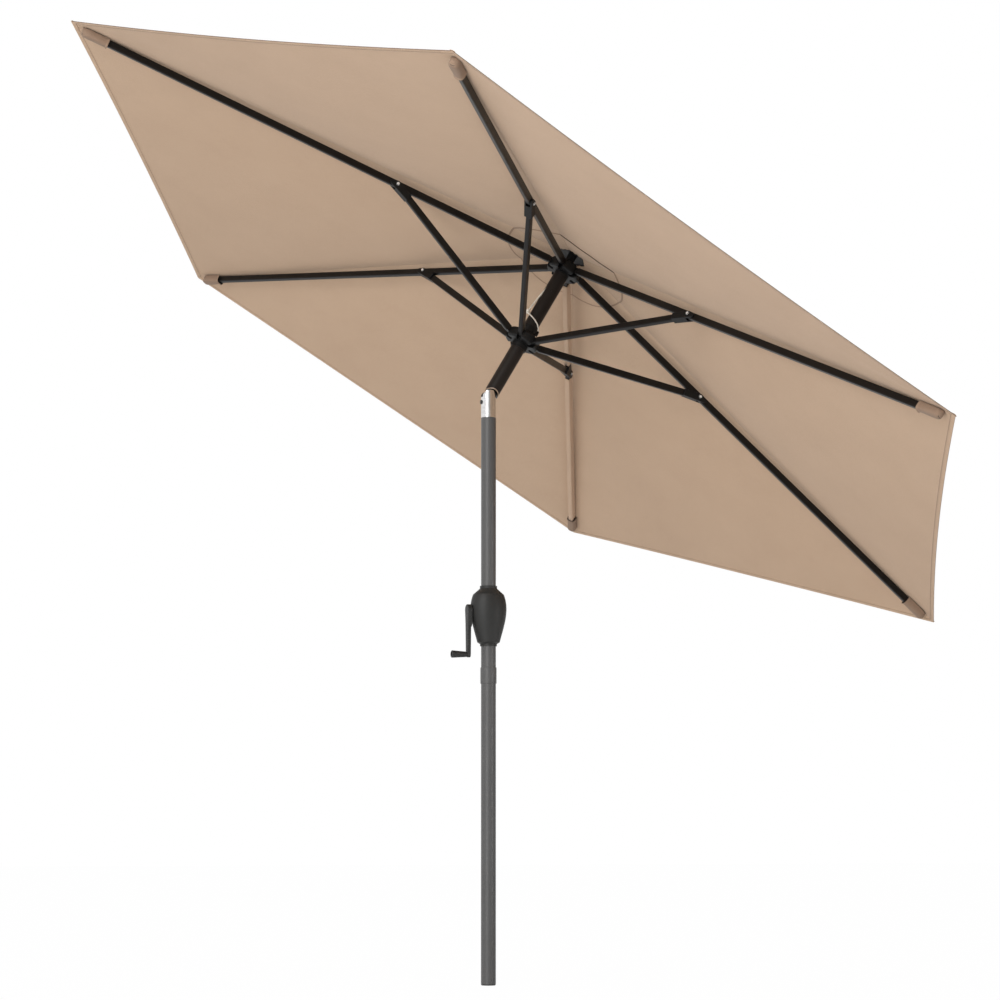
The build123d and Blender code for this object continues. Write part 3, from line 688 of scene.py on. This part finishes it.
def trough(half_w, depth, flange, ridge):
    top = ridge - FLANGE_FALL * half_w
    profile = [(-half_w - flange, ridge - FLANGE_FALL * (half_w + flange))]
    for i in range(TROUGH_POINTS):
        angle = pi * i / (TROUGH_POINTS - 1)
        c, s = cos(angle), sin(angle)
        y = -half_w * copysign(abs(c) ** TROUGH_SIDES, c)
        z = top - (top + depth) * s ** TROUGH_FLOOR
        profile.append((y, z))
    profile.append((half_w + flange, ridge - FLANGE_FALL * (half_w + flange)))
    return profile


def wrap(half_w, half_h):
    profile = []
    for i in range(WRAP_POINTS):
        angle = pi / 2 + 2 * pi * i / (WRAP_POINTS - 1)
        c, s = cos(angle), sin(angle)
        y = half_w * copysign(abs(c) ** WRAP_SQUARE, c)
        z = half_h * copysign(abs(s) ** WRAP_SQUARE, s)
        profile.append((y, z))
    return profile


def trough_object(name, k, stations, thickness, materials, slot_of, cap=False):
    place = rib_frame(k)
    points, faces, slots, uvs = [], [], [], []
    for x, profile in stations:
        run = 0.0
        for i, (y, z) in enumerate(profile):
            if i:
                run += hypot(y - profile[i - 1][0], z - profile[i - 1][1])
            points.append(place @ Vector((x, y, z)))
            uvs.append((x, run))
    count = len(profile)
    for r in range(len(stations) - 1):
        for c in range(count - 1):
            a = r * count + c
            faces.append((a, a + 1, a + count + 1, a + count))
            slots.append(slot_of(r))
    if cap:
        last = (len(stations) - 1) * count
        for c in range(1, count // 2):
            a, b = last + c, last + count - 1 - c
            faces.append((a, a + 1, b - 1, b) if a + 1 != b - 1 else (a, a + 1, b))
            slots.append(slot_of(len(stations) - 2))
    made = add_mesh(name, points, faces, materials, slots, uvs, sharp=60)
    shell = made.modifiers.new("cloth", "SOLIDIFY")
    shell.thickness = thickness
    shell.offset = 1.0
    return made


# Corner pockets: a flared mouth with a band, a body that widens, and a rounded nose, in darker copies of the
# canopy cloth as painted shade, a little lighter on the band, with the inside painted near black as painted
# shade
POCKET_HALF_W = 0.0125
POCKET_MOUTH_W = 0.0108
POCKET_WIDENS = 1.5
POCKET_LIP = 0.003
POCKET_DEPTH = 0.0102
POCKET_FLANGE = 0.0015
POCKET_SKIN = 0.0013
POCKET_BAND = 0.005
BAND_ROWS = 4
BAND_GAP = 0.001
BODY_ROWS = 8
POCKET_SOFT = 0.0006
SOFT_ALONG = 60
SOFT_TURN = 3.3
SOFT_AT = 0.5
POCKET_NOSE = 0.016
NOSE_SHARES = (0.25, 0.45, 0.62, 0.76, 0.87, 0.95, 0.985)
NOSE_BLUNT = 6
POCKET_STITCH_ROWS = 20
POCKET_STITCH_IN = 0.002
FLANGE_STITCH_IN = 0.0004
INSIDE_SHADE_SHIFT = -2


def pocket_half_width(share):
    return POCKET_MOUTH_W + (POCKET_HALF_W - POCKET_MOUTH_W) * share ** POCKET_WIDENS


def make_pocket(k):
    end = RIB_LENGTH + POCKET_END_PAST - POCKET_SKIN
    start = RIB_LENGTH + POCKET_END_PAST - POCKET_LENGTH
    body = start + POCKET_BAND + BAND_GAP
    nose = end - POCKET_NOSE
    stations = []

    def station(x, half_w, depth):
        stations.append((x, trough(half_w, depth, POCKET_FLANGE, under_cloth(x))))

    for i in range(BAND_ROWS + 1):
        flare = POCKET_LIP * (1 - i / BAND_ROWS) ** 2
        station(start + POCKET_BAND * i / BAND_ROWS, POCKET_MOUTH_W + flare / 2, POCKET_DEPTH + flare)
    for i in range(BODY_ROWS + 1):
        x = body + (nose - body) * i / BODY_ROWS
        soft = POCKET_SOFT * noise.noise(Vector((x * SOFT_ALONG, k * SOFT_TURN, SOFT_AT)))
        station(x, pocket_half_width(i / BODY_ROWS) + soft, POCKET_DEPTH + soft / 2)
    for u in NOSE_SHARES:
        round_in = sqrt(1 - u * u)
        deep = (1 - u ** NOSE_BLUNT) ** (1 / 3)
        x = nose + POCKET_NOSE * u
        station(x, POCKET_HALF_W * round_in, (POCKET_DEPTH + under_cloth(x)) * deep - under_cloth(x))
    # Outside in shaded copies of the canopy cloth, the solidified inside near black: all painted shade
    pocket = trough_object(f"pocket_{k + 1}", k, stations, POCKET_SKIN, [inside_painted_shade, pocket_cloth, band_painted_shade],
                           lambda r: 2 if r < BAND_ROWS else 1, cap=True)
    shell = pocket.modifiers["cloth"]
    shell.material_offset = INSIDE_SHADE_SHIFT
    place = rib_frame(k)
    down = place.to_3x3() @ Vector((0, 0, -1))
    lines = []
    for side in (-1, 1):
        line = []
        for i in range(POCKET_STITCH_ROWS + 1):
            x = start + POCKET_STITCH_IN + (nose - start) * i / POCKET_STITCH_ROWS
            y = side * (pocket_half_width(i / POCKET_STITCH_ROWS) + POCKET_FLANGE - FLANGE_STITCH_IN)
            line.append(place @ Vector((x, y, under_cloth(x) - FLANGE_FALL * abs(y) - POCKET_SKIN)))
        lines.append((line, [down] * len(line)))
    rows = stitches(f"pocket_stitches_{k + 1}", lines, thread)
    for piece in (pocket, rows):
        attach(piece, f"rib_{k + 1}")
    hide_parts(f"corner_pocket_{k + 1}")


# Sleeve of canopy cloth round the second rib, open where the strut's clip straddles the rib
SLEEVE_K = 1
SLEEVE_HALF_W = 0.00625
SLEEVE_HALF_H = 0.0093
SLEEVE_SKIN = 0.0007
SLEEVE_FROM_PIN = 0.036
SLEEVE_BEFORE_CLIP = 0.046
SLEEVE_AFTER_CLIP = 0.022
SLEEVE_TO_END = 0.065
SLEEVE_ROW = 0.012
SLACK = 0.00035
SLACK_ALONG = 24
SLACK_AT = (2.7, 0.1)
SLEEVE_RUNS = {"rib_sleeve_inner": (SLEEVE_FROM_PIN, RIVET_ALONG - SLEEVE_BEFORE_CLIP),
               "rib_sleeve_outer": (RIVET_ALONG + SLEEVE_AFTER_CLIP, RIB_LENGTH - SLEEVE_TO_END)}


def make_sleeves():
    for name, (start, end) in SLEEVE_RUNS.items():
        count = int((end - start) / SLEEVE_ROW)
        stations = []
        for i in range(count + 1):
            x = start + (end - start) * i / count
            slack = SLACK * (1 + noise.noise(Vector((x * SLACK_ALONG, *SLACK_AT))))
            stations.append((x, wrap(SLEEVE_HALF_W + slack, SLEEVE_HALF_H + slack)))
        sleeve = trough_object(name, SLEEVE_K, stations, SLEEVE_SKIN, [sleeve_cloth], lambda r: 0)
        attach(sleeve, f"rib_{SLEEVE_K + 1}")


# Bright domed caps over the ends of each rivet: bright plated metal, its colour raised to near white as a
# painted highlight
CAP_R = 0.0047
CAP_H = 0.0023
CAP_SIDES = 28
CAP_PROFILE = [(CAP_R, 0.0), (CAP_R, 0.0005), (0.0044, 0.0012), (0.0034, 0.0019), (0.0018, CAP_H - 0.0001)]


def make_rivet_caps(k):
    place = strut_frame(k)
    ring = CAP_SIDES
    points, faces = [], []
    for side in (-1, 1):
        start = len(points)
        for radius, height in CAP_PROFILE:
            for j in range(ring):
                angle = 2 * pi * j / ring
                shift = Vector((radius * cos(angle), side * (CHEEK_OUT + height), radius * sin(angle)))
                points.append(place @ (Vector((STRUT_LENGTH, 0, 0)) + shift))
        points.append(place @ Vector((STRUT_LENGTH, side * (CHEEK_OUT + CAP_H), 0)))
        top = len(points) - 1
        for r in range(len(CAP_PROFILE) - 1):
            for j in range(ring):
                a, b = start + r * ring + j, start + r * ring + (j + 1) % ring
                quad = (a, b, b + ring, a + ring)
                faces.append(quad if side < 0 else quad[::-1])
        outer = start + (len(CAP_PROFILE) - 1) * ring
        for j in range(ring):
            fan = (outer + j, outer + (j + 1) % ring, top)
            faces.append(fan if side < 0 else fan[::-1])
        base = tuple(start + j for j in range(ring))
        faces.append(base[::-1] if side < 0 else base)
    caps = add_mesh(f"rivet_caps_{k + 1}", points, faces, [rivet_nickel_and_painted_glint], sharp=50)
    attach(caps, f"strut_{k + 1}")


# Cords: each follows a smooth spline through the part's own route
CORD_SIDES = 14


def route_curve(name, route, place):
    curve = bpy.data.curves.new(name, "CURVE")
    curve.dimensions = "3D"
    spline = curve.splines.new("NURBS")
    spline.points.add(len(route) - 1)
    for p, q in zip(spline.points, route):
        p.co = (*(place @ Vector(q)), 1.0)
    spline.order_u = 3
    spline.use_endpoint_u = True
    spline.resolution_u = 16
    made = bpy.data.objects.new(name, curve)
    bpy.context.scene.collection.objects.link(made)
    return made


def cord_curve(name, route, place, node, body):
    made = route_curve(name, route, place)
    made.data.bevel_depth = CORD_R
    made.data.bevel_resolution = 5
    made.data.use_fill_caps = True
    made.data.materials.append(finish["cord"])
    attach(made, body)
    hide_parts(node)
    return made


def spline_line(name, route, place):
    bare = route_curve(name, route, place)
    bpy.context.view_layer.update()
    mesh = bpy.data.meshes.new_from_object(bare)
    line = [v.co.copy() for v in mesh.vertices]
    bpy.data.objects.remove(bare)
    return line


def tube(name, line, radius, material):
    points = []
    side = None
    for i, p in enumerate(line):
        along = (line[min(i + 1, len(line) - 1)] - line[max(i - 1, 0)]).normalized()
        side = Vector((0, 1, 0)) if side is None else side
        side = (side - along * side.dot(along)).normalized()
        up = along.cross(side)
        for j in range(CORD_SIDES):
            angle = 2 * pi * j / CORD_SIDES
            points.append(p + side * cos(angle) * radius + up * sin(angle) * radius)
    return add_mesh(name, points, tube_faces(len(line), CORD_SIDES), [material], sharp=60)


CORD_OUT = 0.0234
HOIST_ROUTE = [(-0.01695, 0, 0.329), (-0.0225, 0.0021, 0.300), (-0.031, 0.0021, 0.221)]
TAIL_ROUTE = [(-0.0183, -0.0026, 0.314), (-0.0242, -0.0024, 0.297), (-0.0274, -0.0022, 0.254)]
BRIDLE_ANGLES = [190.0, 227.0, 266.0, 305.0, 343.0]
BRIDLE_RADII = [0.0286, 0.025, CORD_OUT, CORD_OUT, CORD_OUT]
BRIDLE_TOP = 0.250
BRIDLE_DROP = 0.0067
BRIDLE_ROUTE = [(r * cos(radians(a)), r * sin(radians(a)), BRIDLE_TOP - BRIDLE_DROP * i)
                for i, (a, r) in enumerate(zip(BRIDLE_ANGLES, BRIDLE_RADII))]
MAST_CORD_ROUTE = [(0.00375, 0, 0.0246), (0.00375, 0, 0.302), (0.00375, 0, 0.342), (-0.01675, 0, 0.342),
                   (-0.01675, 0, 0.330)]
POLE_CORD_ROUTE = [(0, 0.00975, 0.958), (0, 0.0049, 1.2195), (0, 0, 1.481)]

# Knot where the strands meet: a ball of cord with slanting turns
KNOT_R = 0.0042
KNOT_TALL = 1.35
KNOT_ROWS = 15
KNOT_SIDES = 30
TURN_DEPTH = 0.13
TURNS = 3
TURN_SLANT = 7


def make_knot(centre):
    points = []
    for r in range(KNOT_ROWS):
        polar = pi * (r + 0.5) / KNOT_ROWS
        for j in range(KNOT_SIDES):
            angle = 2 * pi * j / KNOT_SIDES
            radius = KNOT_R * (1 + TURN_DEPTH * cos(TURNS * angle + TURN_SLANT * polar))
            points.append(centre + Vector((radius * sin(polar) * cos(angle), radius * sin(polar) * sin(angle),
                                           radius * cos(polar) * KNOT_TALL)))
    faces = tube_faces(KNOT_ROWS, KNOT_SIDES, clockwise=True)
    knot = add_mesh("cord_knot", points, faces, [finish["cord"]], sharp=80)
    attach(knot, "runner")
    return knot


def blended_cord(name, route, far_end, **more):
    line = spline_line(name + "_route", route, MAST)
    made = tube(name, line, CORD_R, finish["cord"])
    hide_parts("hoist_cord")
    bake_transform(made)


def make_cords():
    blended_cord("hoist_line", HOIST_ROUTE, "object")
    tail_end = spline_line("knot_route", TAIL_ROUTE, MAST)[-1]
    blended_cord("hoist_tail", TAIL_ROUTE, "knot", with_pieces=[make_knot(tail_end)])

    bridle_line = spline_line("bridle_route", BRIDLE_ROUTE, MAST)
    bridle = cord_curve("bridle_line", BRIDLE_ROUTE, MAST, "cord_bridle", "runner")

    hidden = [("mast_line", MAST_CORD_ROUTE, MAST, "cord_in_mast", "mast"),
              ("pole_line", POLE_CORD_ROUTE, Matrix.Identity(4), "cord_in_pole", "pole")]
    for name, route, place, node, body in hidden:
        line = spline_line(name + "_route", route, place)
        made = cord_curve(name, route, place, node, body)


for k in range(RIB_COUNT):
    make_gore(k)
    make_pocket(k)
    make_rivet_caps(k)
make_sleeves()
make_cords()

# Floor: white to the camera and to reflections, and it keeps the shadow
FLOOR_SIZE = 60.0
FLOOR_GLOW = 0.985
FLOOR_DARK = (0.86, 0.86, 0.86, 1.0)
FLOOR_LIGHT = (0.9, 0.9, 0.9, 1.0)
FLOOR_PATCH = 0.6


def make_floor():
    half = FLOOR_SIZE / 2
    mesh = bpy.data.meshes.new("floor")
    corners = [(-half, -half, 0), (half, -half, 0), (half, half, 0), (-half, half, 0)]
    mesh.from_pydata(corners, [], [(0, 1, 2, 3)])
    floor = bpy.data.objects.new("floor", mesh)
    bpy.context.scene.collection.objects.link(floor)
    made = Shader("floor")
    made.set(Roughness=0.9, Specular_IOR_Level=0.1)
    made.colour(made.noise(FLOOR_PATCH, detail=3.0), [(0.3, FLOOR_DARK), (0.7, FLOOR_LIGHT)])
    glow = made.node("ShaderNodeEmission")
    glow.inputs["Strength"].default_value = 1.0
    path = made.node("ShaderNodeLightPath")
    seen = made.math("MAXIMUM", path.outputs["Is Camera Ray"], path.outputs["Is Glossy Ray"])
    seen = made.math("MAXIMUM", seen, path.outputs["Is Transmission Ray"])
    share = made.math("MULTIPLY", seen, FLOOR_GLOW)
    mix = made.node("ShaderNodeMixShader")
    made.link(share, mix.inputs["Fac"])
    made.link(made.main.outputs["BSDF"], mix.inputs[1])
    made.link(glow.outputs["Emission"], mix.inputs[2])
    made.link(mix.outputs["Shader"], made.tree.nodes["Material Output"].inputs["Surface"])
    mesh.materials.append(made.made)


# World: white to the camera, and to the object a bright studio that darkens to the front and right
WORLD_LIGHT = 0.85
WORLD_SHADED = 0.25
SHADED_FULLY = 0.85
SHADED_SIDE = (0.75, -0.66, 0.0)


def make_world():
    world = bpy.data.worlds.new("studio")
    bpy.context.scene.world = world
    world.use_nodes = True
    tree = world.node_tree
    back = tree.nodes["Background"]

    def math(operation, a, b):
        return tree_math(tree, operation, a, b)

    path = tree.nodes.new("ShaderNodeLightPath")
    mirrored = math("MAXIMUM", path.outputs["Is Glossy Ray"], path.outputs["Is Transmission Ray"])
    level = math("ADD", math("MULTIPLY", mirrored, 1.0 - WORLD_LIGHT), WORLD_LIGHT)
    coords = tree.nodes.new("ShaderNodeTexCoord")
    towards = tree.nodes.new("ShaderNodeVectorMath")
    towards.operation = "DOT_PRODUCT"
    towards.inputs[1].default_value = SHADED_SIDE
    tree.links.new(coords.outputs["Generated"], towards.inputs[0])
    fall = tree.nodes.new("ShaderNodeMapRange")
    fall.inputs["From Min"].default_value = 0.0
    fall.inputs["From Max"].default_value = SHADED_FULLY
    fall.inputs["To Min"].default_value = 1.0
    fall.inputs["To Max"].default_value = WORLD_SHADED
    tree.links.new(towards.outputs["Value"], fall.inputs["Value"])
    lit = math("MULTIPLY", level, fall.outputs["Result"])
    tree.links.new(math("MAXIMUM", lit, path.outputs["Is Camera Ray"]), back.inputs["Strength"])
    back.inputs["Color"].default_value = (1.0, 1.0, 1.0, 1.0)


def area_light(name, place, target, size, power, spread=180):
    light = bpy.data.lights.new(name, "AREA")
    light.shape = "DISK"
    light.size = size
    light.energy = power
    light.spread = radians(spread)
    made = bpy.data.objects.new(name, light)
    made.location = place
    made.rotation_euler = (Vector(target) - Vector(place)).to_track_quat("-Z", "Y").to_euler()
    bpy.context.scene.collection.objects.link(made)


make_floor()
make_world()
area_light("key", place=(-4.2, -4.6, 3.6), target=(0, 0, 1.4), size=3.0, power=190.0)
area_light("low", place=(-3.2, -3.6, 0.3), target=(0.1, 0, 1.7), size=1.6, power=60.0)
area_light("fill", place=(3.2, -3.4, 0.2), target=(0, 0, 0.35), size=3.0, power=3.0, spread=18)

# Camera: fitted to the photograph's corners, hub, runner, tilt joint and foot
CAMERA_AZIMUTH = radians(-19.2847)
CAMERA_BACK = 6.7564
CAMERA_SIDE = 0.02943
CAMERA_EYE = 0.37055
CAMERA_PITCH = radians(3.0)
CAMERA_LENS = 95.503
CAMERA_SHIFT = 0.2
CAMERA_SENSOR = 36.0
CAMERA_REACH = 200.0

lens = bpy.data.cameras.new("camera")
lens.sensor_width = CAMERA_SENSOR
lens.lens = CAMERA_LENS
lens.shift_y = CAMERA_SHIFT
lens.clip_end = CAMERA_REACH
camera = bpy.data.objects.new("camera", lens)
back = Vector((sin(CAMERA_AZIMUTH), -cos(CAMERA_AZIMUTH), 0))
right = Vector((cos(CAMERA_AZIMUTH), sin(CAMERA_AZIMUTH), 0))
camera.location = back * CAMERA_BACK + right * CAMERA_SIDE + Vector((0, 0, CAMERA_EYE))
camera.rotation_euler = (pi / 2 + CAMERA_PITCH, 0, CAMERA_AZIMUTH)
bpy.context.scene.collection.objects.link(camera)
bpy.context.scene.camera = camera
bpy.context.scene.view_settings.view_transform = "Standard"
